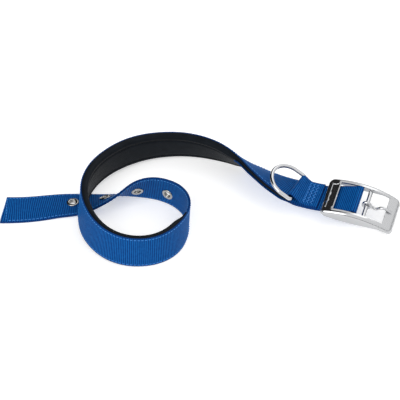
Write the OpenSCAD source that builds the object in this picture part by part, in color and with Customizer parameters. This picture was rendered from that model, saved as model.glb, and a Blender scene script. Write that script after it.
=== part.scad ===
// Padded webbing dog collar, unbuckled and coiled on a table.
// Millimetres, +Z up. The origin is on the table, under the middle of the collar's box.

/* [Webbing] */
// Width of the webbing
strap_w = 25; // [24:0.1:25.2]
// Thickness of one ply of webbing
ply = 0.8; // [0.7:0.05:0.9]
// Distance along the strap from the buckle's bar to the tip
strap_len = 572; // [560:1:572]
// Where the ply that folds back round the bar ends
fold_end = 100; // [90:1:110]

/* [Padding] */
// Start of the padding, from the bar
pad_from = 46; // [44:1:50]
// End of the padding, from the bar
pad_to = 400; // [392:1:406]
// Depth of the padding along the open strap
pad_t = 5.2; // [4.4:0.1:5.4]
// Depth of the padding where the folded ply presses it
pad_pressed = 3; // [2.4:0.1:3.2]
// Thickness of the lining skin
skin_t = 0.5; // [0.4:0.1:0.7]

/* [Eyelets] */
// Distance of the first eyelet from the tip
eyelet_first = 52.5; // [49:0.5:56]
// Spacing of the eyelets
eyelet_pitch = 24.5; // [23:0.5:25]
// Offset of the eyelets from the middle of the width, towards the lower edge
eyelet_off = 2; // [0:0.1:2.2]
// Outer diameter of an eyelet
eyelet_d = 9; // [8:0.1:9.5]
// Diameter of the hole through an eyelet
eyelet_hole = 4.6; // [4:0.1:5]

/* [Buckle] */
// Length of the buckle
buckle_l = 52.4; // [52:0.1:53]
// Width of the buckle over its sides
buckle_w = 31.6; // [31.2:0.1:32.4]
// Thickness of the buckle's plate
plate_t = 1.4; // [1.2:0.1:1.5]
// Rise of the arch from its ends to its middle
arch_rise = 5.5; // [5.3:0.1:5.6]
// Diameter of the bar that the webbing folds round
bar_d = 2.8; // [2.6:0.1:3]
// Diameter of the pin that the prong turns on
pin_d = 3.3; // [3.1:0.1:3.4]
// Diameter of the prong's wire
prong_d = 2.2; // [2:0.1:2.3]

/* [Ring] */
// Diameter of the D-ring's wire
ring_wire = 2.9; // [2.6:0.1:3]
// Width of the D-ring, between the middles of its legs
ring_w = 28.2; // [28.1:0.1:29]
// Depth of the D-ring, from the bar to the bow, between wire middles
ring_depth = 22; // [21:0.1:22.5]
// Distance of the D-ring's bar from the buckle's bar
ring_at = 46; // [45:0.5:48]

/* [Hidden] */

webbing_blue = "royalblue";
lining_black = "#1b1d20";
thread_blue = "midnightblue";
chrome = "silver";

// The strap's route. Each row is [distance, heading, lean, height]: the distance along
// the strap from the buckle's bar, the heading of travel in plan, the lean of the strap's
// width from upright towards the inner side, and the height of the middle of the outer face.
route = [[0, 158, 103, 18.3], [3, 158.4, 102.8, 17.315], [14, 160, 102, 14.5],
         [28, 160, 99, 11.8], [42, 158, 97, 12], [56, 145, 80, 14.4], [71, 131, 66, 15.2],
         [86, 128, 54, 14.2], [101, 138, 42, 13.8], [121, 153, 28, 14.3], [146, 171, 18, 14.8],
         [171, 191, 12, 14.7], [196, 213, 7, 15], [221, 233, 7, 15.7], [246, 252, 6, 16.8],
         [271, 271, 6, 17], [296, 292, 9, 15.2], [321, 317, 7, 13.8], [351, 363, 2, 13],
         [381, 413, 3, 13], [411, 449, -3, 13], [441, 500, 5, 13], [471, 547, 26, 12.1],
         [486, 554, 51, 9], [501, 546, 73, 5.4], [511, 544, 85, 3.4], [536, 553, 95, 3.2],
         [572, 540, 100, 4.1]];
route_start = [113.5, -10];
route_step = 3;

half_w = strap_w / 2;
gap = 0.05;                       // between plies that are sewn together
bar_r = bar_d / 2;
wrap_r = bar_r + 0.35 + ply / 2;  // middle of the ply round the bar
bar_n = ply / 2 + wrap_r;         // depth of the bar's centre under the outer face
stack = ply + gap;                // depth at which the padding starts
rim = 2.2;                        // radius of the padding's rolled edge
pad_end = 0.9;                    // depth of the padding at its buckle end

// ---- the strap as a surface ----

function rows_before(s) = len([for (r = route) if (r[0] <= s) r]);
function slope_at(i, k) =
    let (n = len(route) - 1, a = max(i - 1, 0), b = min(i + 1, n))
    i == 0 || i == n ? (route[b][k] - route[a][k]) / (route[b][0] - route[a][0]) :
    let (h0 = route[i][0] - route[a][0], h1 = route[b][0] - route[i][0],
         d0 = (route[i][k] - route[a][k]) / h0, d1 = (route[b][k] - route[i][k]) / h1)
    (d0 * h1 + d1 * h0) / (h0 + h1);
// column k of the route at distance s, on a smooth cubic through its rows
function along(s, k) =
    let (i = min(max(rows_before(s) - 1, 0), len(route) - 2), h = route[i + 1][0] - route[i][0],
         t = (s - route[i][0]) / h, u = t * t * t, v = t * t)
    (2 * u - 3 * v + 1) * route[i][k] + (u - 2 * v + t) * h * slope_at(i, k)
    + (3 * v - 2 * u) * route[i + 1][k] + (u - v) * h * slope_at(i + 1, k);
function climb(s) = (along(s + 0.5, 3) - along(s - 0.5, 3));
function travel(s) =
    let (a = along(s, 1), dz = climb(s), c = sqrt(1 - dz * dz))
    [cos(a) * c, sin(a) * c, dz];

steps = ceil(strap_len / route_step);
// running sum of the travel, which gives the middle of the outer face in plan
spine = [for (i = 0, p = route_start; i <= steps;
              p = p + route_step * plan(travel((i + 0.5) * route_step)), i = i + 1) p];
function plan(v) = [v[0], v[1]];
function middle(s) =
    let (i = min(floor(s / route_step), steps - 1), f = s / route_step - i,
         p = spine[i] + f * (spine[i + 1] - spine[i]))
    [p[0], p[1], along(s, 3)];

// axes of the strap at distance s: along it, across it to its upper edge, and inward
function axes(s) =
    let (t = travel(s), a = along(s, 1), b = along(s, 2), side = [-sin(a), cos(a), 0],
         up = cross(t, side))
    [t, cos(b) * up + sin(b) * side, cos(b) * side - sin(b) * up];
// point at distance s, depth n inward from the outer face, and w across from the middle
function place(s, n, w) =
    let (q = min(max(s, 0), strap_len), x = axes(q))
    middle(q) + (s - q) * x[0] + w * x[1] + n * x[2];

// moves children from strap axes to the model: X back towards the bar, Y to the lower
// or far edge, Z out of the outer face
module on_strap(s, n = 0, w = 0) {
    x = axes(s);
    p = place(s, n, w);
    multmatrix([[-x[0][0], -x[1][0], -x[2][0], p[0]],
                [-x[0][1], -x[1][1], -x[2][1], p[1]],
                [-x[0][2], -x[1][2], -x[2][2], p[2]],
                [0, 0, 0, 1]]) children();
}

// ---- solids swept along the strap ----

// closed solid through rings of points; a ring is a convex outline, or a wall whose
// second half runs back along its first. A flat ply lists for each ring whether the next
// one lies back towards the bar, so that its cells split the same way on both faces.
module loft(rings, wall = false, back = []) {
    k = len(rings[0]);
    n = len(rings);
    m = k / 2;
    sides = [for (i = [0 : n - 2], j = [0 : k - 1])
             let (a = i * k + j, b = i * k + (j + 1) % k,
                  other = len(back) > 0 && (j >= m) != back[i])
             each other ? [[a, b, a + k], [b, b + k, a + k]] : [[a, b, b + k], [a, b + k, a + k]]];
    cap = wall ? [for (j = [0 : m - 2]) each [[j, k - 1 - j, j + 1], [j + 1, k - 1 - j, k - 2 - j]]]
               : [for (j = [1 : k - 2]) [0, j + 1, j]];
    end = (n - 1) * k;
    polyhedron([for (r = rings) each r],
               concat(sides, cap, [for (f = cap) [end + f[0], end + f[2], end + f[1]]]),
               convexity = 10);
}

function unit(v) = v / norm(v);
function reversed(l) = [for (i = [len(l) - 1 : -1 : 0]) l[i]];
// ring of a ply of thickness t round point i of its middle line [distance, depth]
function ply_ring(line, i, t, ws) =
    let (a = line[max(i - 1, 0)], b = line[min(i + 1, len(line) - 1)], d = unit(b - a),
         h = [-d[1], d[0]] * t / 2, p = line[i])
    [for (w = ws) place(p[0] - h[0], p[1] - h[1], w),
     for (w = reversed(ws)) place(p[0] + h[0], p[1] + h[1], w)];
module ribbon(line, t, ws)
    loft([for (i = [0 : len(line) - 1]) ply_ring(line, i, t, ws)],
         back = [for (i = [0 : len(line) - 2]) line[i + 1][0] < line[i][0]]);
// places across a ply that is w wide
function cells(w) = [-w / 2, -w / 6, w / 6, w / 2];

function smooth(a, b, s) = let (t = min(max((s - a) / (b - a), 0), 1)) t * t * (3 - 2 * t);
// depth of the padding at distance s: thin at both ends, pressed near the buckle
function pad_depth(s) =
    pad_end + (pad_pressed - pad_end) * smooth(pad_from, pad_from + 8, s)
    + (pad_t - pad_pressed) * smooth(fold_end - 6, fold_end + 10, s)
    - (pad_t - 2 * skin_t - 0.6) * smooth(pad_to - 14, pad_to, s);
// half circle of a ply's middle line about [s, n], from angle a0 through half a turn
function half_turn(s, n, r, a0, turn) =
    [for (a = [0 : 20 : 180]) [s + r * cos(a0 + turn * a), n + r * sin(a0 + turn * a)]];

// ---- the soft parts ----

// one length of webbing: it starts under the lining, folds round the buckle's bar, makes
// the outer face up to the tip, folds there and comes back as the inner face of the tail
tail_n = ply + gap + ply / 2;
bar_fold_n = bar_n + wrap_r;
fold_n = function (s) s > pad_from ? stack + pad_depth(s) + gap + ply / 2 :
    s > 22 ? tail_n + (pad_end + gap) * smooth(pad_from - 10, pad_from, s) :
    bar_fold_n + (tail_n - bar_fold_n) * smooth(4, 22, s);
webbing_line = concat(
    [for (s = [fold_end : -3 : 6]) [s, fold_n(s)]],
    [for (a = [90 : -15 : -90]) [-wrap_r * cos(a), bar_n + wrap_r * sin(a)]],
    [for (s = [4 : route_step : strap_len - 3]) [s, ply / 2]],
    half_turn(strap_len - 1.6, ply + gap / 2, (ply + gap) / 2, -90, 1),
    [for (s = [strap_len - 4 : -route_step : pad_to + 2]) [s, tail_n]]);

module webbing()
    color(webbing_blue)
    difference() {
        ribbon(webbing_line, ply, cells(strap_w));
        for (i = [1 : eyelet_n]) eyelet_room(i);
    }

// outline across the padding at distance s, from its outer edge round the inner side;
// inset shrinks it, and lifts it half as far off the webbing
function pad_outline(s, inset) =
    let (d = pad_depth(s) - inset, w = half_w - 0.2 - inset,
         r = min(rim, d * 0.8, d - inset / 2 - gap))
    [for (q = [[-w, inset / 2], [-w, d - r], [-w + 0.3 * r, d - 0.3 * r], [-w + r, d],
               [0, d], [w - r, d], [w - 0.3 * r, d - 0.3 * r], [w, d - r], [w, inset / 2]])
     place(s, stack + q[1], q[0])];
function pad_stations(a, b) =
    [a, each [for (s = [4 : route_step : b - 1]) if (s > a + 1) s], b];

module lining()
    color(lining_black)
    loft([for (s = pad_stations(pad_from, pad_to))
          concat(pad_outline(s, 0), reversed(pad_outline(s, skin_t)))], wall = true);
module foam_pad()
    color("dimgray")
    loft([for (s = pad_stations(pad_from + 1, pad_to - 2)) reversed(pad_outline(s, skin_t + gap))]);

// short length of webbing folded round the D-ring's bar and sewn down beside the buckle
ring_r = ring_wire / 2;
patch_r = ring_r + 0.85 + ply / 2;
ring_n = -(gap + ply / 2 + patch_r);
patch_from = ring_at - 19;
patch_line = concat(
    [for (s = [patch_from : 2.5 : ring_at - 1]) [s, -gap - ply / 2]],
    half_turn(ring_at, ring_n, patch_r, 90, -1),
    [for (s = [1.5 : 1.5 : 7.5]) [ring_at - s,
        -(gap + ply / 2) - 2 * patch_r + (2 * patch_r - ply - gap) * smooth(0, 7.5, s)]],
    [for (s = [ring_at - 9 : -2.5 : patch_from]) [s, -2 * gap - 1.5 * ply]]);
module ring_patch()
    color(webbing_blue) ribbon(patch_line, ply, cells(strap_w - 0.6));

// ---- the stitching ----

thread_t = 0.2;
thread_w = 0.6;
// row of thread laid on the face at depth n, from distance a to b, at w across
module thread_row(line, w)
    color(thread_blue) ribbon(line, thread_t, [w - thread_w / 2, w + thread_w / 2]);
lining_row = [for (s = [fold_end + 4 : 4 : pad_to - 16]) [s, stack + pad_depth(s) + gap + thread_t / 2]];
tail_row = [for (s = [pad_to + 8 : 4 : strap_len - 4]) [s, -gap - thread_t / 2]];

module lining_thread_top() thread_row(lining_row, half_w - 4);
module lining_thread_bottom() thread_row(lining_row, 4 - half_w);
module tail_thread_top() thread_row(tail_row, half_w - 2);
module tail_thread_bottom() thread_row(tail_row, 2 - half_w);
module tip_thread()
    color(thread_blue)
    on_strap(strap_len - 4, gap)
        translate([-thread_w / 2, 3 - half_w, 2 * gap]) cube([thread_w, strap_w - 6, thread_t]);
// three zigzag rows of stitches through the patch
zig_n = 9;
zig_w = 2.2;
zig_face = 2 * (ply + gap) + gap;
module patch_thread()
    color(thread_blue)
    for (row = [4.5, 7.5, 10.5], i = [0 : zig_n - 1])
        on_strap(patch_from + row, -zig_face, (i - (zig_n - 1) / 2) * zig_w)
            rotate([0, 0, i % 2 == 0 ? 35 : -35])
            translate([-zig_w / 2, -thread_w / 2, 0]) cube([zig_w, thread_w, thread_t]);

// ---- the eyelets ----

eyelet_n = 4;
flange_t = 0.6;
barrel_r = eyelet_hole / 2 + 0.5;
tail_t = 2 * ply + gap;
function eyelet_s(i) = strap_len - eyelet_first - (i - 1) * eyelet_pitch;
// room under eyelet i's flat flange: how far the face at depth n, bent and twisted, rises
// past the plane through its middle within the flange's edge; out is 1 or -1
function lift(i, n, out) =
    let (s = eyelet_s(i), c = place(s, n, -eyelet_off), up = -out * axes(s)[2])
    0.1 + max([for (a = [0 : 15 : 345], r = [0.6, 1] * eyelet_d / 2)
               (place(s + r * cos(a), n, -eyelet_off + r * sin(a)) - c) * up]);

module eyelet_room(i)
    on_strap(eyelet_s(i), 0, -eyelet_off)
        translate([0, 0, -tail_t - 2]) cylinder(r = barrel_r + gap, h = tail_t + 4, $fn = 48);
// outline of a flange's outer half, its inner edge at radius r and its flat face at z
function flange(r, z, out) =
    [[r, z], [eyelet_d / 2, z], [eyelet_d / 2, z + out * flange_t / 2],
     [eyelet_d / 2 - 0.9, z + out * flange_t]];
// flanged tube pushed through from the outer face, its end rolled over the washer
module eyelet(i) {
    front = lift(i, 0, 1);
    back = -tail_t - lift(i, tail_t, -1) - flange_t;
    color(chrome)
    on_strap(eyelet_s(i), 0, -eyelet_off)
        rotate_extrude($fn = 48)
            polygon(concat([[eyelet_hole / 2, back], [barrel_r, back]],
                           flange(barrel_r, front, 1),
                           [[eyelet_hole / 2 + 0.3, front + flange_t],
                            [eyelet_hole / 2, front + flange_t * 0.6]]));
}
module washer(i) {
    back = -tail_t - lift(i, tail_t, -1);
    color(chrome)
    on_strap(eyelet_s(i), 0, -eyelet_off)
        rotate_extrude($fn = 48)
            polygon(concat(flange(barrel_r + gap, back, -1), [[barrel_r + gap, back - flange_t]]));
}

// ---- the buckle ----

// buckle axes: origin on the bar, X towards the tip of the prong, Y to the far side, Z out
buckle_tilt = 30;                     // turn of the buckle about its bar, below the strap's line
left_x = -22.5;
right_x = left_x + buckle_l;
mid_x = (left_x + right_x) / 2;
top_z = 0.4;                          // top of the arch above the bar's centre
arch_r = (buckle_l * buckle_l / 4 + arch_rise * arch_rise) / (2 * arch_rise);
rail_w = (buckle_w - strap_w - 0.9) / 2;
inner_w = buckle_w - 2 * rail_w;
skirt_t = 1.2;
bridge_w = 8;
end_w = 7.6;
pin_x = 7.9;
pin_z = -1.7;

module on_buckle() on_strap(0, bar_n) rotate([0, buckle_tilt, 0]) children();
module across(d, l) rotate([90, 0, 0]) cylinder(d = d, h = l, center = true, $fn = 48);
module arch(r0, r1, w) translate([mid_x, 0, top_z - arch_r]) rotate([90, 0, 0])
    difference() {
        cylinder(r = r1, h = w, center = true, $fn = 180);
        cylinder(r = r0, h = w + 2, center = true, $fn = 180);
    }
module slab(x0, x1, w, z0 = -14, z1 = 6) translate([x0, -w / 2, z0]) cube([x1 - x0, w, z1 - z0]);
function arch_z(x) = top_z - arch_r + sqrt(arch_r * arch_r - (x - mid_x) * (x - mid_x));

corner_r = 3;
module plan_shape() {
    slab(left_x, right_x, buckle_w - 2 * corner_r);
    slab(left_x + corner_r, right_x - corner_r, buckle_w);
    for (x = [left_x + corner_r, right_x - corner_r], y = [-1, 1])
        translate([x, y * (buckle_w / 2 - corner_r), -14]) cylinder(r = corner_r, h = 20, $fn = 48);
}
skirt_low = [[26.5, -5.6], [20, -4.6], [12, -5.4], [4, -6.6], [-4, -7.4], [-12, -7.8], [-20.5, -7.4]];
module skirt(side)
    translate([0, side * (buckle_w / 2 - skirt_t / 2) + skirt_t / 2, 0]) rotate([90, 0, 0])
        linear_extrude(skirt_t)
            polygon(concat([for (x = [-20.5 : 2.35 : 26.5]) [x, arch_z(x) - plate_t / 2]], skirt_low));

module buckle_frame()
    color(chrome)
    on_buckle() {
        difference() {
            intersection() {
                arch(arch_r - plate_t, arch_r, buckle_w);
                plan_shape();
            }
            slab(left_x + bridge_w, right_x - end_w, inner_w);
            // recess in the bridge
            intersection() {
                arch(arch_r - 0.4, arch_r + 2, buckle_w);
                slab(left_x + 1.7, left_x + 6.6, inner_w - 2);
            }
        }
        for (side = [-1, 1]) {
            skirt(side);
            // boss that holds the end of the prong's pin, and seat beside the end of the bar
            translate([pin_x, side * (inner_w / 2 + rail_w / 2 - skirt_t / 2), pin_z])
                across(pin_d + 1.6, rail_w - skirt_t);
            translate([0, side * (inner_w / 2 + rail_w / 2 - skirt_t / 2), 0])
                slab(-bar_d / 2, bar_d / 2, rail_w - skirt_t, -bar_d / 2, -plate_t / 2);
        }
    }
module webbing_bar() color(chrome) on_buckle() across(bar_d, inner_w);
module prong_pin() color(chrome) on_buckle() translate([pin_x, 0, pin_z]) across(pin_d, inner_w);

// middle line of the prong beyond its eye, in the buckle's X and Z
eye_r = pin_d / 2 + 0.08 + prong_d / 2;
prong_line = [[pin_x, pin_z + eye_r + 0.06], [9.6, pin_z + eye_r - 0.6], [11, -1], [12.6, -2.6], [14.6, -3.1],
              [16.4, -1.9], [18.2, -0.2], [20.2, 0.5], [22.6, 0.2], [25.2, -1.2], [27.2, -2.3]];
// smooth curve through the points of a list, at place t
function curve(l, t) =
    let (n = len(l) - 1, i = max(min(floor(t), n - 1), 0), f = t - i,
         a = l[max(i - 1, 0)], b = l[i], c = l[i + 1], d = l[min(i + 2, n)])
    0.5 * (2 * b + f * (c - a) + f * f * (2 * a - 5 * b + 4 * c - d)
           + f * f * f * (3 * b - a - 3 * c + d));
module prong()
    color(chrome)
    on_buckle() {
        translate([pin_x, 0, pin_z]) rotate([90, 0, 0])
            rotate_extrude($fn = 48) translate([eye_r, 0]) circle(d = prong_d, $fn = 24);
        loft([for (i = [0 : 2 : 4 * (len(prong_line) - 1)])
              let (t = i / 4, p = curve(prong_line, t),
                   d = unit(curve(prong_line, t + 0.01) - curve(prong_line, t - 0.01)),
                   r = prong_d / 2 * (i > 36 ? 0.8 : 1))
              [for (a = [0 : 30 : 330])
               [p[0] - d[1] * r * cos(a), r * sin(a), p[1] + d[0] * r * cos(a)]]]);
    }

// ---- the D-ring ----

ring_tilt = 17;                       // of the ring's plane above the strap's face
module wire(l) rotate([90, 0, 0]) cylinder(d = ring_wire, h = l, center = true, $fn = 32);
module bend(r, turn) rotate_extrude(angle = turn, $fn = 96) translate([r, 0]) circle(d = ring_wire, $fn = 32);
ring_corner = 2;
leg_l = ring_depth - ring_w / 2 - ring_corner;
module d_ring()
    color(chrome)
    on_strap(ring_at, ring_n) rotate([0, ring_tilt, 0]) {
        wire(ring_w - 2 * ring_corner);
        translate([-ring_corner - leg_l, 0, 0]) rotate([0, 0, 90]) bend(ring_w / 2, 180);
        for (side = [-1, 1]) {
            translate([-ring_corner - leg_l / 2, side * ring_w / 2, 0]) rotate([0, 0, 90]) wire(leg_l);
            translate([-ring_corner, side * (ring_w / 2 - ring_corner), 0])
                rotate([0, 0, side > 0 ? 0 : -90]) bend(ring_corner, 90);
        }
    }

webbing();
foam_pad();
lining();
ring_patch();
lining_thread_top();
lining_thread_bottom();
tail_thread_top();
tail_thread_bottom();
tip_thread();
patch_thread();
eyelet(1);  // eyelet_1
eyelet(2);  // eyelet_2
eyelet(3);  // eyelet_3
eyelet(4);  // eyelet_4
washer(1);  // washer_1
washer(2);  // washer_2
washer(3);  // washer_3
washer(4);  // washer_4
buckle_frame();
webbing_bar();
prong_pin();
prong();
d_ring();
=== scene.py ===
# Padded webbing dog collar, lying open in a coil, with its buckle, eyelets and D-ring
import math

import bpy
import numpy as np
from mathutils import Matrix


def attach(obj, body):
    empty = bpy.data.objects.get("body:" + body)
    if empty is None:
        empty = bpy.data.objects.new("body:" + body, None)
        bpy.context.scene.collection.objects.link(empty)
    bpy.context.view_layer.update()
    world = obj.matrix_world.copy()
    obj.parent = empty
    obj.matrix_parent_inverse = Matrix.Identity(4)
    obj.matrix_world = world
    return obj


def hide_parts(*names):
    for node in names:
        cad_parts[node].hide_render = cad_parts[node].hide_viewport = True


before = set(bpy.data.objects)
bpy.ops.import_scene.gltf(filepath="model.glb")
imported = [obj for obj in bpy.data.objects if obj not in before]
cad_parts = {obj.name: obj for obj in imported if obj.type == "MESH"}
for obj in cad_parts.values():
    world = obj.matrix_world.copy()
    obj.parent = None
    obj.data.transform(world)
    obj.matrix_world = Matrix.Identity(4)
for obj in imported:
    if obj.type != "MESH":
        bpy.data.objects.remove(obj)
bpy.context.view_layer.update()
print("frame loaded:", len(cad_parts), "nodes")

mm = 0.001

# ---- camera ----

camera = {"target": (-0.5, 10.9, 0.0), "distance": 1500.0, "elevation": 38.5, "lens": 181.0}


def placeCamera(c):
    tilt = math.radians(c["elevation"])
    data = bpy.data.cameras.new("camera")
    data.lens = c["lens"]
    data.clip_start, data.clip_end = 0.05, 20
    eye = bpy.data.objects.new("camera", data)
    back = c["distance"] * mm
    x, y, z = (v * mm for v in c["target"])
    eye.location = (x, y - back * math.cos(tilt), z + back * math.sin(tilt))
    eye.rotation_euler = (math.pi / 2 - tilt, 0, 0)
    bpy.context.scene.collection.objects.link(eye)
    bpy.context.scene.camera = eye


placeCamera(camera)
print("camera placed")

# ---- the strap's route and the surfaces laid along it ----

# distance from the buckle's bar, heading, lean and height of the outer face's middle, in
# millimetres and degrees: the same rows that the solid webbing follows
route = np.array([
    [0, 158, 103, 18.3], [3, 158.4, 102.8, 17.315], [14, 160, 102, 14.5], [28, 160, 99, 11.8],
    [42, 158, 97, 12], [56, 145, 80, 14.4], [71, 131, 66, 15.2], [86, 128, 54, 14.2],
    [101, 138, 42, 13.8], [121, 153, 28, 14.3], [146, 171, 18, 14.8], [171, 191, 12, 14.7],
    [196, 213, 7, 15], [221, 233, 7, 15.7], [246, 252, 6, 16.8], [271, 271, 6, 17],
    [296, 292, 9, 15.2], [321, 317, 7, 13.8], [351, 363, 2, 13], [381, 413, 3, 13],
    [411, 449, -3, 13], [441, 500, 5, 13], [471, 547, 26, 12.1], [486, 554, 51, 9],
    [501, 546, 73, 5.4], [511, 544, 85, 3.4], [536, 553, 95, 3.2], [572, 540, 100, 4.1]], float)
strap = {"width": 25.0, "ply": 0.8, "gap": 0.05, "length": 572.0, "start": (113.5, -10.0),
         "foldEnd": 100.0, "padFrom": 46.0, "padTo": 400.0, "padDepth": 5.2, "padPressed": 3.0,
         "padEnd": 0.9, "skin": 0.5, "barD": 2.8, "step": 3.0, "tipSlant": -1.8, "tipCut": 14.0}
half = strap["width"] / 2
stack = strap["ply"] + strap["gap"]
wrapR = strap["barD"] / 2 + 0.35 + strap["ply"] / 2
barDepth = strap["ply"] / 2 + wrapR


def rowSlopes(column):
    # slope at each row: the neighbouring slopes, each weighted by the other one's span
    span = np.diff(route[:, 0])
    rise = np.diff(route[:, column]) / span
    inner = (rise[:-1] * span[1:] + rise[1:] * span[:-1]) / (span[:-1] + span[1:])
    return np.concatenate([rise[:1], inner, rise[-1:]])


def along(s, column):
    # cubic through the rows: value and slope at both ends of a span, blended by t
    i = np.clip(np.searchsorted(route[:, 0], s, side="right") - 1, 0, len(route) - 2)
    h = route[i + 1, 0] - route[i, 0]
    t = (s - route[i, 0]) / h
    g = rowSlopes(column)
    t2, t3 = t * t, t ** 3
    return ((2 * t3 - 3 * t2 + 1) * route[i, column] + (t3 - 2 * t2 + t) * h * g[i]
            + (3 * t2 - 2 * t3) * route[i + 1, column] + (t3 - t2) * h * g[i + 1])


def travel(s):
    # unit direction of travel: the heading in plan, and the height's slope
    a = np.radians(along(s, 1))
    dz = along(s + 0.5, 3) - along(s - 0.5, 3)
    c = np.sqrt(1 - dz * dz)
    return np.stack([np.cos(a) * c, np.sin(a) * c, dz], -1)


stations = np.arange(0, strap["length"] + strap["step"], strap["step"])
plan = np.concatenate([[strap["start"]],
                       strap["start"] + np.cumsum(travel(stations[:-1] + strap["step"] / 2)[:, :2], 0)
                       * strap["step"]])


def strapAxes(s):
    # along the strap, across it to its upper edge, and inward from the outer face
    t = travel(s)
    a, b = np.radians(along(s, 1)), np.radians(along(s, 2))
    side = np.stack([-np.sin(a), np.cos(a), 0 * a], -1)
    up = np.cross(t, side)
    cb, sb = np.cos(b)[..., None], np.sin(b)[..., None]
    return t, cb * up + sb * side, cb * side - sb * up


def smoothPlan(s):
    # the running sum of the travel, taken as a cubic between its stations
    i = np.clip((s / strap["step"]).astype(int), 0, len(plan) - 2)
    t = ((s - stations[i]) / strap["step"])[..., None]
    before, after = plan[np.maximum(i - 1, 0)], plan[np.minimum(i + 2, len(plan) - 1)]
    m0, m1 = (plan[i + 1] - before) / 2, (after - plan[i]) / 2
    return ((2 * t ** 3 - 3 * t ** 2 + 1) * plan[i] + (t ** 3 - 2 * t ** 2 + t) * m0
            + (3 * t ** 2 - 2 * t ** 3) * plan[i + 1] + (t ** 3 - t ** 2) * m1)


def onStrap(s, n, w):
    # point at distance s, depth n inward from the outer face, w across, in metres
    s, n, w = np.broadcast_arrays(np.asarray(s, float), n, w)
    q = np.clip(s, 0, strap["length"])
    t, across, inward = strapAxes(q)
    middle = np.concatenate([smoothPlan(q), along(q, 3)[..., None]], -1)
    return (middle + (s - q)[..., None] * t + w[..., None] * across + n[..., None] * inward) * mm


def ramp(a, b, s):
    t = np.clip((s - a) / (b - a), 0, 1)
    return t * t * (3 - 2 * t)


def padDepth(s):
    # thin at both ends, pressed by the folded ply near the buckle, full along the rest
    full, pressed, end = strap["padDepth"], strap["padPressed"], strap["padEnd"]
    start, stop = strap["padFrom"], strap["padTo"]
    return (end + (pressed - end) * ramp(start, start + 8, s)
            + (full - pressed) * ramp(strap["foldEnd"] - 6, strap["foldEnd"] + 10, s)
            - (full - 2 * strap["skin"] - 0.6) * ramp(stop - 14, stop, s))


# ---- making pieces ----


def gridFaces(rows, columns, ringRows=False, ringColumns=False):
    # quads of a grid of points, joined round where asked
    r = np.arange(rows if ringRows else rows - 1)
    c = np.arange(columns if ringColumns else columns - 1)
    r, c = np.meshgrid(r, c, indexing="ij")
    r1, c1 = (r + 1) % rows, (c + 1) % columns
    corners = [r * columns + c, r1 * columns + c, r1 * columns + c1, r * columns + c1]
    return np.stack(corners, -1).reshape(-1, 4)


def makePiece(name, points, quads, material, body, nodes=(), caps=(), cloth=None, flip=False):
    # a mesh from arrays of points and quads, with end caps as many-sided faces
    mesh = bpy.data.meshes.new(name)
    points = np.asarray(points, np.float32).reshape(-1, 3)
    quads = np.asarray(quads)[:, ::-1] if flip else np.asarray(quads)
    caps = [np.asarray(c)[::-1] if flip else np.asarray(c) for c in caps]
    counts = np.concatenate([np.full(len(quads), 4), [len(c) for c in caps]]).astype(np.int32)
    corners = np.concatenate([quads.reshape(-1), *caps]).astype(np.int32)
    mesh.vertices.add(len(points))
    mesh.vertices.foreach_set("co", points.reshape(-1))
    mesh.loops.add(len(corners))
    mesh.loops.foreach_set("vertex_index", corners)
    mesh.polygons.add(len(counts))
    mesh.polygons.foreach_set("loop_start", np.concatenate([[0], np.cumsum(counts)[:-1]]).astype(np.int32))
    mesh.update(calc_edges=True)
    mesh.validate()
    mesh.polygons.foreach_set("use_smooth", np.ones(len(mesh.polygons), bool))
    if cloth is not None:
        place = mesh.attributes.new("clothPlace", "FLOAT_VECTOR", "POINT")
        place.data.foreach_set("vector", np.asarray(cloth, np.float32).reshape(-1))
    piece = bpy.data.objects.new(name, mesh)
    bpy.context.scene.collection.objects.link(piece)
    mesh.materials.append(material)
    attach(piece, body)
    if nodes:
        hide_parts(*nodes)
    return piece


# ---- materials ----


class Value:
    # a socket or a number whose sums and products become Math nodes
    def __init__(self, tree, socket):
        self.tree, self.socket = tree, socket

    def math(self, operation, first, second=None):
        node = self.tree.nodes.new("ShaderNodeMath")
        node.operation = operation
        for place, value in enumerate([first] if second is None else [first, second]):
            if isinstance(value, Value):
                self.tree.links.new(value.socket, node.inputs[place])
            else:
                node.inputs[place].default_value = value
        return Value(self.tree, node.outputs[0])

    def __add__(self, other):
        return self.math("ADD", self, other)

    def __sub__(self, other):
        return self.math("SUBTRACT", self, other)

    def __mul__(self, other):
        return self.math("MULTIPLY", self, other)

    def __rsub__(self, other):
        return self.math("SUBTRACT", other, self)

    __radd__, __rmul__ = __add__, __mul__

    def sine(self):
        return self.math("SINE", self)

    def size(self):
        return self.math("ABSOLUTE", self)


class Nodes:
    # makes any node of a tree from its type, its settings and its sockets' values or links
    def __init__(self, tree):
        self.tree = tree

    def node(self, kind, settings=None, output=0, **inputs):
        made = self.tree.nodes.new(kind)
        for key, value in (settings or {}).items():
            if key == "stops":
                ramp = made.color_ramp
                while len(ramp.elements) < len(value):
                    ramp.elements.new(0.5)
                for element, (place, colour) in zip(ramp.elements, value):
                    element.position, element.color = place, colour
            else:
                setattr(made, key, value)
        for key, value in inputs.items():
            socket = made.inputs[int(key[1:])] if key[1:].isdigit() else made.inputs[key.replace("_", " ")]
            if isinstance(value, Value):
                self.tree.links.new(value.socket, socket)
            else:
                socket.default_value = value
        return Value(self.tree, made.outputs[output])

    def mix(self, factor, low, high):
        return self.node("ShaderNodeMix", {"data_type": "RGBA"}, 2, i0=factor, i6=low, i7=high)

    def noise(self, place, scale, detail=2.0):
        return self.node("ShaderNodeTexNoise", Vector=place, Scale=scale, Detail=detail)

    def step(self, value, low, high):
        # smooth rise from 0 at low to 1 at high
        smooth = {"interpolation_type": "SMOOTHSTEP"}
        return self.node("ShaderNodeMapRange", smooth, i0=value, i1=low, i2=high)


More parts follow.
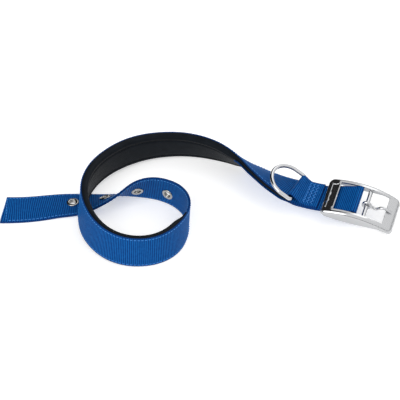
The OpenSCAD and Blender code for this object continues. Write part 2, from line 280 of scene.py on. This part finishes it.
class Finish(Nodes):
    # one material on the standard surface shader
    def __init__(self, name, **uniform):
        self.material = bpy.data.materials.new(name)
        self.material.use_nodes = True
        super().__init__(self.material.node_tree)
        self.shader = self.tree.nodes["Principled BSDF"]
        for socket, value in uniform.items():
            self.shader.inputs[socket.replace("_", " ")].default_value = value

    def feed(self, socket, value):
        self.tree.links.new(value.socket, self.shader.inputs[socket])

    def bump(self, height, strength, distance):
        self.feed("Normal", self.node("ShaderNodeBump", Strength=strength, Distance=distance, Height=height))

    def cloth(self):
        # distance along, across and depth, in millimetres
        place = self.node("ShaderNodeAttribute", {"attribute_name": "clothPlace"}, 1)
        split = self.tree.nodes.new("ShaderNodeSeparateXYZ")
        self.tree.links.new(place.socket, split.inputs[0])
        return [Value(self.tree, o) for o in split.outputs], place


# the valley and ridge colours are painted shade between the ribs and a painted highlight on their tops
ribs = {"pitch": 1.4, "depth": 0.22, "yarn": 0.8, "plain": 0.9, "fade": 0.5,
        "shadedValley": (0.0, 0.015, 0.105, 1), "ridge": (0.006, 0.14, 0.45, 1), "edge": (0.0, 0.015, 0.1, 1)}


def webbingFinish():
    # Ribbed nylon: a painted highlight on the ribs' tops and painted shade between them, and darker near the
    # edges.
    # A rib is the square of a sine of the distance, and the yarns slant across it.
    f = Finish("ribbedNylon", Roughness=0.5, Specular_IOR_Level=0.05, Sheen_Weight=0.08, Sheen_Roughness=0.3)
    f.shader.inputs["Sheen Tint"].default_value = (0.25, 0.6, 1.0, 1)
    (s, w, n), place = f.cloth()
    rib = s * (math.pi / ribs["pitch"])
    ridge = rib.sine() * rib.sine()
    yarn = (w * (2 * math.pi / ribs["yarn"]) + rib).sine() * 0.5 + 0.5
    # painted highlight on each rib's top and painted shade in the valley between ribs, with the yarns and
    # random tone mixed in
    shade = ridge * 0.75 + yarn * ridge * 0.1 + f.noise(place, 0.45, 3.0) * 0.5 - 0.25
    colour = f.mix(shade, ribs["shadedValley"], ribs["ridge"])
    # darker within the last millimetre of each edge
    nearEdge = f.step(w.size(), half - 1.0, half - 0.5)
    f.feed("Base Color", f.mix(nearEdge * 0.6, colour, ribs["edge"]))
    f.bump(yarn * 0.4 + ridge, 0.4, 0.0002)
    return f.material


def liningFinish():
    # smooth knitted cloth, near black: rows of tiny loops, and soft patches of wear
    f = Finish("liningCloth", Roughness=0.55, Specular_IOR_Level=0.06, Sheen_Weight=0.03, Sheen_Roughness=0.4)
    (s, w, n), place = f.cloth()
    knit = (s * (2 * math.pi / 0.7)).sine() * (w * (2 * math.pi / 0.7)).sine()
    colour = f.mix(f.noise(place, 0.2), (0.003, 0.004, 0.006, 1), (0.009, 0.012, 0.016, 1))
    f.feed("Base Color", colour)
    f.bump(knit, 0.3, 0.0001)
    return f.material


def threadFinish(name, low, high):
    # twisted thread: its shade varies along each stitch
    f = Finish(name, Roughness=0.5, Specular_IOR_Level=0.2)
    place = f.node("ShaderNodeTexCoord", None, 3)
    f.feed("Base Color", f.mix(f.noise(place, 1500.0), (*low, 1), (*high, 1)))
    return f.material


def metalFinish(name, colour, roughness, wear):
    # plated metal with faint wear that only changes its gloss
    f = Finish(name, Metallic=1.0)
    f.shader.inputs["Base Color"].default_value = (*colour, 1)
    place = f.node("ShaderNodeTexCoord", None, 3)
    f.feed("Roughness", f.noise(place, 900.0, 3.0) * wear + roughness)
    return f.material


def frameFinish(colour):
    # The buckle's plating: bright and smooth at the bridge, and finely hatched satin
    # towards the prong's end. The hatch is two crossed sines of the buckle's own axes.
    f = Finish("framePlate", Metallic=1.0)
    f.shader.inputs["Base Color"].default_value = (*colour, 1)
    (x, y, z), place = f.cloth()
    satin = f.step(x, 10.0, 17.0)
    hatch = ((x + y * 0.8) * 9.0).sine() * ((x - y * 1.3) * 7.0).sine()
    f.feed("Roughness", satin * 0.2 + f.noise(place, 0.9, 3.0) * 0.05 + 0.05)
    f.bump(hatch * satin, 0.12, 0.0001)
    return f.material


nylon = webbingFinish()
lining = liningFinish()
blueThread = threadFinish("blueThread", (0.02, 0.15, 0.5), (0.08, 0.3, 0.7))
blackThread = threadFinish("blackThread", (0.0005, 0.0005, 0.0005), (0.002, 0.002, 0.0025))
chrome = metalFinish("chromePlate", (0.55, 0.555, 0.57), 0.04, 0.05)
plated = frameFinish((0.5, 0.505, 0.515))
nickel = metalFinish("nickelPlate", (0.42, 0.41, 0.39), 0.1, 0.12)
print("materials made")

# ---- webbing ----


def plyProfile(width, thickness, count):
    # outline across a ply: two flat faces joined by half-round edges, as (across, depth)
    r = thickness / 2
    w = np.linspace(-width / 2 + r, width / 2 - r, count)
    a = np.radians([60, 20, -20, -60])
    edge = np.stack([np.cos(a) * r + width / 2 - r, -np.sin(a) * -r], -1)
    top = np.stack([w, np.full(count, r)], -1)
    return np.concatenate([top, edge, -top, -edge])


def plyPath(corners, spacing):
    # even points along a line of (distance, depth) corners
    corners = np.asarray(corners, float)
    run = np.concatenate([[0], np.cumsum(np.linalg.norm(np.diff(corners, axis=0), axis=1))])
    u = np.linspace(0, run[-1], int(run[-1] / spacing) + 1)
    return np.stack([np.interp(u, run, corners[:, k]) for k in (0, 1)], -1), u


def layPly(name, corners, width, thickness, nodes, holes=()):
    # the outline is carried along the path, and its faces sink between the ribs
    path, u = plyPath(corners, ribs["pitch"] / 5)
    go = np.gradient(path, axis=0)
    go /= np.linalg.norm(go, axis=1, keepdims=True)
    out = np.stack([-go[:, 1], go[:, 0]], -1)
    profile = plyProfile(width, thickness, 9)
    w, r = profile[:, 0], profile[:, 1]
    ridge = np.sin(u * math.pi / ribs["pitch"]) ** 2
    face = np.clip((width / 2 - ribs["plain"] - np.abs(w)) / ribs["fade"], 0, 1)
    sink = 1 - ribs["depth"] / (thickness / 2) * (1 - ridge)[:, None] * face
    lift = r * sink
    s = path[:, :1] + out[:, :1] * lift
    n = path[:, 1:] + out[:, 1:] * lift
    slant = w / half * strap["tipSlant"] * ramp(strap["length"] - strap["tipCut"], strap["length"], s)
    points = onStrap(s - slant, n, w + 0 * s)
    rows, columns = points.shape[:2]
    cloth = np.stack([u[:, None] + 0 * s, w + 0 * s, n], -1)
    ends = [np.arange(columns), (rows - 1) * columns + np.arange(columns)[::-1]]
    return makePiece(name, points, gridFaces(rows, columns, ringColumns=True), nylon, "collar",
                     nodes, caps=ends, cloth=cloth)


def turn(s, n, r, start, sweep, count=14):
    a = np.radians(start + np.linspace(0, sweep, count))
    return np.stack([s + r * np.cos(a), n + r * np.sin(a)], -1)


def foldDepth(s):
    # middle of the ply that folds back under the lining
    inner = stack + strap["ply"] / 2
    low = inner + (strap["padEnd"] + strap["gap"]) * ramp(strap["padFrom"] - 10, strap["padFrom"], s)
    bar = barDepth + wrapR
    low = np.where(s > 22, low, bar + (inner - bar) * ramp(4, 22, s))
    return np.where(s > strap["padFrom"], stack + padDepth(s) + strap["gap"] + strap["ply"] / 2, low)


def webbingCorners():
    # from the fold's end to the bar, round it, out to the tip, round that and back inside
    back = np.arange(strap["foldEnd"], 5.5, -1.0)
    bar = turn(0, barDepth, wrapR, 90, 180, 20)
    outer = np.arange(4, strap["length"] - 2, 1.0)
    middle = (strap["ply"] + strap["gap"]) / 2
    tip = turn(strap["length"] - 1.6, stack - strap["gap"] / 2, middle, -90, 180, 10)
    inner = np.arange(strap["length"] - 4, strap["padTo"] + 2, -1.0)
    flat = strap["ply"] / 2
    return np.concatenate([np.stack([back, foldDepth(back)], -1), bar,
                           np.stack([outer, np.full(len(outer), flat)], -1), tip,
                           np.stack([inner, np.full(len(inner), stack + flat)], -1)])


webbing = layPly("sewnWebbing", webbingCorners(), strap["width"], strap["ply"], ["webbing"])
print("webbing laid:", len(webbing.data.polygons), "faces")

# ---- lining over its foam ----

pad = {"inset": 0.2, "rim": 2.2, "rowAt": 8.5, "rowDip": 0.7, "rowWidth": 0.8, "stitch": 3.4}


def liningTop(s, w):
    # round rims, a dip along each stitch row that is deeper at each stitch, and a low
    # crown between the rows
    d = padDepth(s)
    reach = half - pad["inset"]
    r = np.minimum(pad["rim"], d * 0.8)
    overRim = np.clip(np.abs(w) - (reach - r), 0, r)
    top = d - r + np.sqrt(np.maximum(r * r - overRim ** 2, 0))
    full = ramp(1.2, 3.5, d)
    sewn = ramp(strap["foldEnd"], strap["foldEnd"] + 6, s)
    dip = pad["rowDip"] * np.exp(-((np.abs(w) - pad["rowAt"]) / pad["rowWidth"]) ** 2)
    dip = dip * (0.75 + 0.25 * np.cos(2 * math.pi * s / pad["stitch"]))
    crown = 0.3 * (1 - (w / pad["rowAt"]) ** 2) * (np.abs(w) < pad["rowAt"])
    return top - full * sewn * (dip + 0.3 - crown)


def layLining():
    # across: up one rounded side, over the top and down the other, closed along the webbing
    s = np.linspace(strap["padFrom"], strap["padTo"], 331)[:, None]
    reach = half - pad["inset"]
    a = np.linspace(-math.pi / 2, math.pi / 2, 61)
    w = reach * np.sign(a) * (1 - np.abs(1 - np.abs(a) * 2 / math.pi) ** 1.6)
    w = np.broadcast_to(w, (len(s), len(w)))
    n = liningTop(s, w)
    w = np.concatenate([w, np.broadcast_to(np.linspace(reach, -reach, 9), (len(s), 9))], 1)
    n = np.concatenate([n, np.zeros((len(s), 9))], 1) + stack
    s = s + 0 * w
    points = onStrap(s, n, w)
    rows, columns = points.shape[:2]
    ends = [np.arange(columns)[::-1], (rows - 1) * columns + np.arange(columns)]
    piece = makePiece("paddedLining", points, gridFaces(rows, columns, ringColumns=True), lining,
                      "collar", ["lining", "foam_pad"], caps=ends,
                      cloth=np.stack([s, w, n], -1), flip=True)


layLining()
print("lining laid")

# ---- patch that holds the D-ring ----

ring = {"wire": 2.9, "width": 28.2, "depth": 22.0, "at": 46.0, "tilt": 17.0, "corner": 2.0, "slack": 0.85,
        "patchReach": 19.0, "patchFall": 9.0}
patchR = ring["wire"] / 2 + ring["slack"] + strap["ply"] / 2
ringDepth = -(strap["gap"] + strap["ply"] / 2 + patchR)
patchFrom = ring["at"] - ring["patchReach"]


def patchCorners():
    # along the webbing to the ring's bar, round it, down to the lower ply and back over it
    low = -strap["gap"] - strap["ply"] / 2
    under = np.arange(patchFrom, ring["at"], 1.0)
    run = np.arange(1.5, ring["patchFall"] + 0.5, 0.5)
    fall = low - 2 * patchR + (2 * patchR - stack) * ramp(0, ring["patchFall"], run)
    over = np.arange(ring["at"] - ring["patchFall"] - 1, patchFrom - 0.1, -1.0)
    return np.concatenate([np.stack([under, np.full(len(under), low)], -1),
                           turn(ring["at"], ringDepth, patchR, 90, -180, 20),
                           np.stack([ring["at"] - run, fall], -1),
                           np.stack([over, np.full(len(over), low - stack)], -1)])


layPly("ringPatch", patchCorners(), strap["width"] - 0.6, strap["ply"], ["ring_patch"])
print("patch laid")

# ---- stitches ----

thread = {"radius": 0.26, "pitch": 2.7, "length": 1.9, "liningRadius": 0.4, "liningLength": 1.9,
          "edge": 1.5, "patchRows": (5.0, 8.0, 11.0), "patchStep": 1.7, "patchSwing": 0.9}


def sewStitches(name, starts, stops, faceDepth, side, material, nodes, r=thread["radius"]):
    # each stitch is a short round thread from start to stop (distance, across), sinking
    # into the cloth at both ends
    steps, around = 7, 8
    t = np.linspace(0, 1, steps)[None, :, None]
    a = np.linspace(0, 2 * math.pi, around, endpoint=False)[None, None, :]
    starts, stops = starts[:, None, None, :], stops[:, None, None, :]
    run = stops - starts
    length = np.linalg.norm(run, axis=-1)
    arc = np.sin(math.pi * np.clip(t, 0.04, 0.96)) ** 0.5
    girth = r * (0.35 + 0.65 * arc)
    s = starts[..., 0] + run[..., 0] * t - run[..., 1] / length * girth * np.cos(a)
    w = starts[..., 1] + run[..., 1] * t + run[..., 0] / length * girth * np.cos(a)
    n = faceDepth(s) + side * (r * (1.5 * arc - 1.1)) + girth * np.sin(a)
    points = onStrap(s, n, w)
    count = points.shape[0]
    each = steps * around
    quads = gridFaces(steps, around, ringColumns=True)
    quads = (quads[None] + (np.arange(count) * each)[:, None, None]).reshape(-1, 4)
    first = np.arange(around)
    caps = [c for k in range(count) for c in (first[::-1] + each * k, first - around + each * (k + 1))]
    return makePiece(name, points, quads, material, "collar", nodes, caps=caps, flip=True)


def sewRow(name, start, stop, across, faceDepth, side, material, slotName, nodes):
    s = np.arange(start, stop, thread["pitch"])
    starts = np.stack([s, np.full(len(s), across)], -1)
    sewStitches(name, starts, starts + [thread["length"], 0], faceDepth, side, material, nodes)


def outerFace(s):
    return 0 * s


def innerFace(s):
    return 0 * s + 2 * strap["ply"] + strap["gap"]


def patchFace(s):
    return 0 * s - 2 * stack


def liningFace(across):
    return lambda s: stack + liningTop(s, across)


def sewLiningRow(edge, across):
    # one stitch in each pucker of the row
    first, last = (round(v / pad["stitch"]) for v in (strap["foldEnd"] + 4, strap["padTo"] - 16))
    s = np.arange(first, last) * pad["stitch"]
    starts = np.stack([s - thread["liningLength"] / 2, np.full(len(s), across)], -1)
    sewStitches("liningStitches" + edge.title(), starts, starts + [thread["liningLength"], 0],
                liningFace(across), 1, blackThread, ["lining_thread_" + edge],
                thread["liningRadius"])


tailEnds = (strap["padTo"] + 6, strap["length"] - 4)
for edge, sign in (("top", 1), ("bottom", -1)):
    sewLiningRow(edge, sign * pad["rowAt"])
    sewRow("tailStitches" + edge.title(), *tailEnds, sign * (half - thread["edge"]), outerFace, -1,
           blueThread, "thread", ["tail_thread_" + edge])
    sewRow("tailInnerStitches" + edge.title(), *tailEnds, sign * (half - thread["edge"]), innerFace, 1,
           blueThread, "thread", [])
    sewRow("edgeStitches" + edge.title(), strap["padFrom"] + 6, strap["padTo"] + 4,
           sign * (half - thread["edge"]), outerFace, -1, blueThread, "thread", [])
print("long rows sewn")


def sewTip():
    w = np.arange(-half + 1.6, half - 3, thread["pitch"])
    s = np.full(len(w), strap["length"] - 3.2)
    starts = np.stack([s, w], -1)
    sewStitches("tipStitches", starts, starts + [0, thread["length"]], outerFace, -1, blueThread,
                ["tip_thread"])


def sewPatch():
    # zigzag rows across the patch, each stitch swinging the other way from the last
    step = thread["patchStep"]
    w = np.arange(-half + 1.8, half - 3, step)
    swing = thread["patchSwing"] * (-1.0) ** np.arange(len(w))
    starts, stops = [], []
    for at in thread["patchRows"]:
        starts.append(np.stack([patchFrom + at - swing, w], -1))
        stops.append(np.stack([patchFrom + at + swing, w + step], -1))
    sewStitches("patchStitches", np.concatenate(starts), np.concatenate(stops), patchFace, -1, blueThread,
                ["patch_thread"])


sewTip()
sewPatch()
print("tip and patch sewn")

# ---- eyelets ----

eyelet = {"first": 52.5, "pitch": 24.5, "offset": 2.0, "outer": 4.5, "hole": 2.3, "wall": 0.35, "rise": 0.75,
          "count": 4}


def turned(profile, count=64):
    # a profile of (radius, height) carried round the height axis
    a = np.linspace(0, 2 * math.pi, count, endpoint=False)[:, None]
    return np.stack([profile[:, 0] * np.cos(a), profile[:, 0] * np.sin(a), profile[:, 1] + 0 * a], -1)


def flangeProfile(side, under, inner, barrelEnd):
    # half-round rolled flange, dished towards the hole; side is 1 outside and -1 at the back
    a = np.linspace(0, math.pi, 15)
    mid, wide = (eyelet["outer"] + inner) / 2, (eyelet["outer"] - inner) / 2
    roll = np.stack([mid + wide * np.cos(a), under + eyelet["rise"] * np.sin(a) ** 0.8], -1)
    wall = inner + eyelet["wall"]
    return np.concatenate([roll, [[inner, barrelEnd], [wall, barrelEnd], [wall, under]]]) * [1, side]


def onEyelet(shape, number):
    # a shape about an eyelet's own axis, carried to its place on the strap
    s = strap["length"] - eyelet["first"] - (number - 1) * eyelet["pitch"]
    t, across, inward = (v[0] for v in strapAxes(np.array([s])))
    centre = onStrap(s, 0.0, -eyelet["offset"])
    return centre + (shape[..., :1] * -t + shape[..., 1:2] * -across + shape[..., 2:] * -inward) * mm


def cutHoles():
    # round punches through both plies, taken away together
    around = 32
    a = np.linspace(0, 2 * math.pi, around, endpoint=False)
    r = eyelet["hole"] + 0.3
    rings = np.stack([np.stack([r * np.cos(a), r * np.sin(a), 0 * a + z], -1) for z in (-4, 2)])
    points, quads, caps = [], [], []
    for number in range(1, eyelet["count"] + 1):
        points.append(onEyelet(rings, number).reshape(-1, 3))
        first = (number - 1) * 2 * around
        quads.append(gridFaces(2, around, ringColumns=True)[:, ::-1] + first)
        caps += [np.arange(around)[::-1] + first, np.arange(around, 2 * around) + first]
    punch = bpy.data.meshes.new("punches")
    faces = [tuple(q) for q in np.concatenate(quads).tolist()] + [tuple(c.tolist()) for c in caps]
    punch.from_pydata(np.concatenate(points).tolist(), [], faces)
    tool = bpy.data.objects.new("punches", punch)
    bpy.context.scene.collection.objects.link(tool)
    cut = webbing.modifiers.new("holes", "BOOLEAN")
    cut.operation, cut.solver, cut.object = "DIFFERENCE", "MANIFOLD", tool
    graph = bpy.context.evaluated_depsgraph_get()
    before = len(webbing.data.polygons)
    done = bpy.data.meshes.new_from_object(webbing.evaluated_get(graph))
    webbing.modifiers.clear()
    webbing.data = done
    bpy.data.objects.remove(tool)
    print("holes cut:", before, "to", len(done.polygons), "faces")


def setEyelet(number):
    depth = 2 * strap["ply"] + strap["gap"]
    front = turned(flangeProfile(1, 0.05, eyelet["hole"], -depth / 2))
    back = turned(flangeProfile(-1, depth + 0.05, eyelet["hole"] + 0.1, depth / 2))
    for name, shape, node, flip in (("eyelet", front, "eyelet_", False), ("washer", back, "washer_", True)):
        points = onEyelet(shape, number)
        makePiece(name + str(number), points, gridFaces(*points.shape[:2], ringRows=True, ringColumns=True),
                  nickel, "collar", [node + str(number)], flip=flip)


cutHoles()
for number in range(1, eyelet["count"] + 1):
    setEyelet(number)
print("eyelets set")

# ---- buckle ----

buckle = {"length": 52.4, "width": 31.6, "rise": 5.5, "tilt": 30.0, "left": -22.5, "top": 0.4,
          "corner": 3.0, "bridge": 8.0, "end": 7.6, "skirt": 1.2, "bend": 1.6, "recess": 0.55,
          "recessFrom": 1.6, "recessTo": 6.6, "step": 0.35, "taper": 0.04, "roll": 2.0, "rollDrop": 0.9,
          "pinX": 7.9, "pinZ": -1.7, "pinD": 3.3}
right = buckle["left"] + buckle["length"]
midX = buckle["left"] + buckle["length"] / 2
archR = (buckle["length"] ** 2 / 4 + buckle["rise"] ** 2) / (2 * buckle["rise"])
windowHalf = (strap["width"] + 0.9) / 2
barAxes = [v[0] for v in strapAxes(np.array([0.0]))]
barCentre = onStrap(0.0, barDepth, 0.0)


def onBuckle(x, y, z):
    # buckle axes: x from the bar towards the prong's tip, y to the far side, z out
    c, k = math.cos(math.radians(buckle["tilt"])), math.sin(math.radians(buckle["tilt"]))
    x, y, z = (np.asarray(v, float)[..., None] for v in np.broadcast_arrays(x, y, z))
    t, across, inward = barAxes
    return barCentre - ((x * c + z * k) * t + y * across + (z * c - x * k) * inward) * mm


def archHeight(x):
    return buckle["top"] - archR + np.sqrt(archR ** 2 - (x - midX) ** 2)


def skirtLow(x):
    # lower edge of the side skirts: deep at the middle, shallow towards the prong's end
    return np.interp(x, [-22.5, -20.5, -12, -4, 4, 12, 20, 26.5, 29.9],
                     [-6.4, -7.4, -7.8, -7.4, -6.6, -5.4, -4.6, -5.6, -6.6])


def lines(*spans):
    # grid lines from one place to the next, each span given as (from, to, cells)
    return np.unique(np.concatenate([np.linspace(a, b, n + 1) for a, b, n in spans]).round(4))


def makeFrame():
    # One sheet: the arch along x, and across it a flat top, a bend at each side and a
    # skirt down to the lower edge. The ends roll down, and the bridge has a sunk panel.
    left, b = buckle["left"], buckle
    r0, r1 = left + b["recessFrom"], left + b["recessTo"]
    step = b["step"]
    x = lines((left, left + 1.3, 5), (left + 1.3, r0, 1), (r0, r0 + step, 1), (r0 + step, r1 - step, 6),
              (r1 - step, r1, 1), (r1, left + b["bridge"], 2), (left + b["bridge"], right - b["end"], 40),
              (right - b["end"], right - b["roll"], 8), (right - b["roll"], right, 6))
    flatHalf = b["width"] / 2 - b["bend"]
    panel = windowHalf - 1.1
    topY = lines((0, panel - step, 12), (panel - step, panel, 1), (panel, windowHalf, 2),
                 (windowHalf, flatHalf, 3))
    bend = np.linspace(0, math.pi / 2, 7)[1:]
    bendY, bendZ = flatHalf + b["bend"] * np.sin(bend), b["bend"] * (np.cos(bend) - 1)
    down = np.linspace(0, 1, 8)[1:]
    sideY = np.concatenate([topY[1:], bendY, np.full(len(down), b["width"] / 2)])
    sideZ = np.concatenate([0 * topY[1:], bendZ, np.full(len(down), -b["bend"])])
    sideDown = np.concatenate([0 * topY[1:], 0 * bendZ, down])
    y = np.concatenate([-sideY[::-1], [0], sideY])
    z = np.concatenate([sideZ[::-1], [0], sideZ])
    go = np.concatenate([sideDown[::-1], [0], sideDown])
    gx, gy = np.meshgrid(x, y, indexing="ij")
    edge = np.minimum(gx - left, right - gx)
    inCorner = np.clip(b["corner"] - edge, 0, b["corner"])
    reach = b["width"] / 2 - b["corner"] + np.sqrt(b["corner"] ** 2 - inCorner ** 2)
    height = archHeight(gx) + z
    height = height + go * np.minimum(skirtLow(gx) - height, -0.3) * ramp(0, b["corner"], edge)
    roll = np.clip((b["roll"] - edge) / b["roll"], 0, 1)
    height = height - b["rollDrop"] * roll ** 2
    sunk = (gx > r0 + 0.2) & (gx < r1 - 0.2) & (np.abs(gy) < panel - 0.2)
    height = height - b["recess"] * sunk
    across = gy * reach / (b["width"] / 2) * (1 - b["taper"] * ramp(10, right, gx))
    points = onBuckle(gx, across, height)
    rows, columns = gx.shape
    quads = gridFaces(rows, columns)
    centreX, centreY = gx.reshape(-1)[quads].mean(1), gy.reshape(-1)[quads].mean(1)
    open_ = (centreX > left + b["bridge"]) & (centreX < right - b["end"]) & (np.abs(centreY) < windowHalf)
    kept = quads[~open_]
    used, kept = np.unique(kept, return_inverse=True)
    kept = kept.reshape(-1, 4)
    place = np.stack([gx, across, height], -1).reshape(-1, 3)[used]
    piece = makePiece("buckleFrame", points.reshape(-1, 3)[used], kept, plated, "buckle",
                      ["buckle_frame"], cloth=place, flip=True)
    wall = piece.modifiers.new("thickness", "SOLIDIFY")
    wall.thickness, wall.offset, wall.use_even_offset = b["skirt"] * mm, -1, True
    round_ = piece.modifiers.new("roundEdges", "BEVEL")
    round_.width, round_.segments, round_.limit_method = 0.3 * mm, 3, "ANGLE"
    round_.angle_limit = math.radians(50)


makeFrame()
print("buckle frame made")


def tube(path, up, radius, count=24, closed=False):
    # a circle carried along a path; up is across the path's own plane
    ahead = np.roll(path, -1, 0) - np.roll(path, 1, 0) if closed else np.gradient(path, axis=0)
    ahead /= np.linalg.norm(ahead, axis=1, keepdims=True)
    out = np.cross(ahead, up)
    out /= np.linalg.norm(out, axis=1, keepdims=True)
    a = np.linspace(0, 2 * math.pi, count, endpoint=False)[None, :, None]
    radius = np.broadcast_to(radius, len(path))[:, None, None]
    return path[:, None] + radius * (np.cos(a) * out[:, None] + np.sin(a) * np.asarray(up)[None, None])


def smoothLine(corners, each):
    # curve through every corner, each span in equal parts
    p = np.concatenate([2 * corners[:1] - corners[1:2], corners, 2 * corners[-1:] - corners[-2:-1]])
    t = (np.arange(each) / each)[:, None]
    spans = [0.5 * (2 * b + t * (c - a) + t ** 2 * (2 * a - 5 * b + 4 * c - d)
                    + t ** 3 * (3 * b - a - 3 * c + d))
             for a, b, c, d in zip(p[:-3], p[1:-2], p[2:-1], p[3:])]
    return np.concatenate([*spans, corners[-1:]])


prong = {"wire": 2.2, "clear": 0.08,
         "tongue": [(9.6, -0.6), (11, -1), (12.6, -2.6), (14.6, -3.1), (16.4, -1.9), (18.2, -0.2),
                    (20.2, 0.5), (22.6, 0.2), (25.2, -1.2), (27.2, -2.3)]}


def bendProng():
    # one wire: most of a turn round the pin, then the bent tongue, with a rounded tip
    b = buckle
    eyeR = b["pinD"] / 2 + prong["clear"] + prong["wire"] / 2
    a = np.radians(np.linspace(420, 95, 30))
    eye = np.stack([b["pinX"] + eyeR * np.cos(a), b["pinZ"] + eyeR * np.sin(a)], -1)
    start = np.array([[b["pinX"], b["pinZ"] + eyeR + 0.06]])
    tongue = np.array([[x, z if k else b["pinZ"] + eyeR - 0.6] for k, (x, z) in enumerate(prong["tongue"])])
    path = np.concatenate([eye, smoothLine(np.concatenate([start, tongue]), 8)])
    path = np.stack([path[:, 0], 0 * path[:, 0], path[:, 1]], -1)
    run = np.concatenate([[0], np.cumsum(np.linalg.norm(np.diff(path, axis=0), axis=1))])
    r = prong["wire"] / 2
    left = run[-1] - run
    narrow = np.where(left < 3, 0.8 + 0.2 * left / 3, 1)  # to four fifths over the last 3 mm
    tip = np.sqrt(np.clip(1 - (1 - left / r).clip(0, 1) ** 2, 0.02, 1))
    points = tube(path, (0, 1, 0), r * narrow * tip)
    points = onBuckle(points[..., 0], points[..., 1], points[..., 2])
    rows, columns = points.shape[:2]
    ends = [np.arange(columns)[::-1], (rows - 1) * columns + np.arange(columns)]
    makePiece("prong", points, gridFaces(rows, columns, ringColumns=True), chrome, "prong",
              ["prong"], caps=ends)


bendProng()


def bendRing():
    # round the D: the bar, two tight corners, short legs and the half-circle bow
    c, halfW = ring["corner"], ring["width"] / 2
    leg = ring["depth"] - halfW - c
    quarter = np.radians(np.linspace(0, 90, 9))
    bow = np.radians(np.linspace(90, 270, 61))
    corner = np.stack([-c + c * np.cos(quarter), halfW - c + c * np.sin(quarter)], -1)
    side = np.stack([-c - np.linspace(0, leg, 6)[1:-1], np.full(4, halfW)], -1)
    arc = np.stack([-c - leg + halfW * np.cos(bow), halfW * np.sin(bow)], -1)
    bar = np.stack([np.zeros(10), np.linspace(-halfW + c, halfW - c, 12)[1:-1]], -1)
    mirrored = [corner[::-1] * [1, -1], side[::-1] * [1, -1]]
    loop = np.concatenate([bar, corner, side, arc, mirrored[1], mirrored[0]])
    t, across, inward = (v[0] for v in strapAxes(np.array([ring["at"]])))
    k = math.radians(ring["tilt"])
    path = np.stack([loop[:, 0], loop[:, 1], 0 * loop[:, 0]], -1)
    points = tube(path, (0, 0, 1), ring["wire"] / 2, closed=True)
    x, y, z = (points[..., i, None] for i in range(3))
    centre = onStrap(ring["at"], ringDepth, 0.0)
    points = centre - ((x * math.cos(k) + z * math.sin(k)) * t + y * across
                       + (z * math.cos(k) - x * math.sin(k)) * inward) * mm
    makePiece("dRing", points, gridFaces(*points.shape[:2], ringRows=True, ringColumns=True), chrome,
              "d_ring", ["d_ring"])


bendRing()
print("prong and ring bent")

for node in ("webbing_bar", "prong_pin"):
    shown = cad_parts[node]
    shown.data.materials.clear()
    shown.data.materials.append(chrome)

# ---- floor and light ----

# dark is where the sky's dark card hangs: its direction, and where its edge starts and ends
studio = {"floor": 0.8, "glow": 0.45, "key": 6.0, "fill": 3.0, "sky": 1.15, "dark": (-0.55, 0.5, 0.67),
          "darkFrom": 0.66, "darkTo": 0.76, "low": 0.35}


def layFloor():
    size = 6.0
    grid = np.array([[-size, -size, 0], [size, -size, 0], [size, size, 0], [-size, size, 0]])
    mesh = bpy.data.meshes.new("floor")
    mesh.from_pydata(grid.tolist(), [], [(0, 1, 2, 3)])
    floor = bpy.data.objects.new("floor", mesh)
    bpy.context.scene.collection.objects.link(floor)
    paper = Finish("whitePaper", Roughness=0.9)
    paper.shader.inputs["Base Color"].default_value = (studio["floor"],) * 3 + (1,)
    paper.shader.inputs["Emission Color"].default_value = (1, 1, 1, 1)
    paper.shader.inputs["Emission Strength"].default_value = studio["glow"]
    mesh.materials.append(paper.material)


def softLight(name, place, power, size):
    data = bpy.data.lights.new(name, "AREA")
    data.energy, data.size = power, size
    lamp = bpy.data.objects.new(name, data)
    lamp.location = place
    x, y, z = place  # the light faces the origin
    lamp.rotation_euler = (math.atan2(math.hypot(x, y), z), 0, math.atan2(x, -y))
    bpy.context.scene.collection.objects.link(lamp)


layFloor()
softLight("keyLight", (-0.7, -0.8, 0.7), studio["key"], 0.8)
softLight("topLight", (0.3, 0.7, 1.2), studio["fill"], 1.0)


def lightSky():
    # an even white sky with one dark card in it and a dark band near the horizon, which
    # give the polished metal something dark to mirror
    world = bpy.data.worlds.new("studio")
    bpy.context.scene.world = world
    world.use_nodes = True
    sky = Nodes(world.node_tree)
    way = sky.node("ShaderNodeTexCoord")
    dark = np.array(studio["dark"]) / np.linalg.norm(studio["dark"])
    facing = sky.node("ShaderNodeVectorMath", {"operation": "DOT_PRODUCT"}, 1, i0=way, i1=tuple(dark))
    height = sky.node("ShaderNodeSeparateXYZ", None, 2, i0=way)
    card = sky.step(facing, studio["darkFrom"], studio["darkTo"])
    band = 1 - sky.step(height, 0.04, studio["low"])
    light = (1 - card * 0.97) * (1 - band * 0.8) * studio["sky"]
    background = world.node_tree.nodes["Background"]
    background.inputs[0].default_value = (1, 1, 1, 1)
    world.node_tree.links.new(light.socket, background.inputs[1])


lightSky()
bpy.context.scene.view_settings.view_transform = "Standard"
print("studio lit")
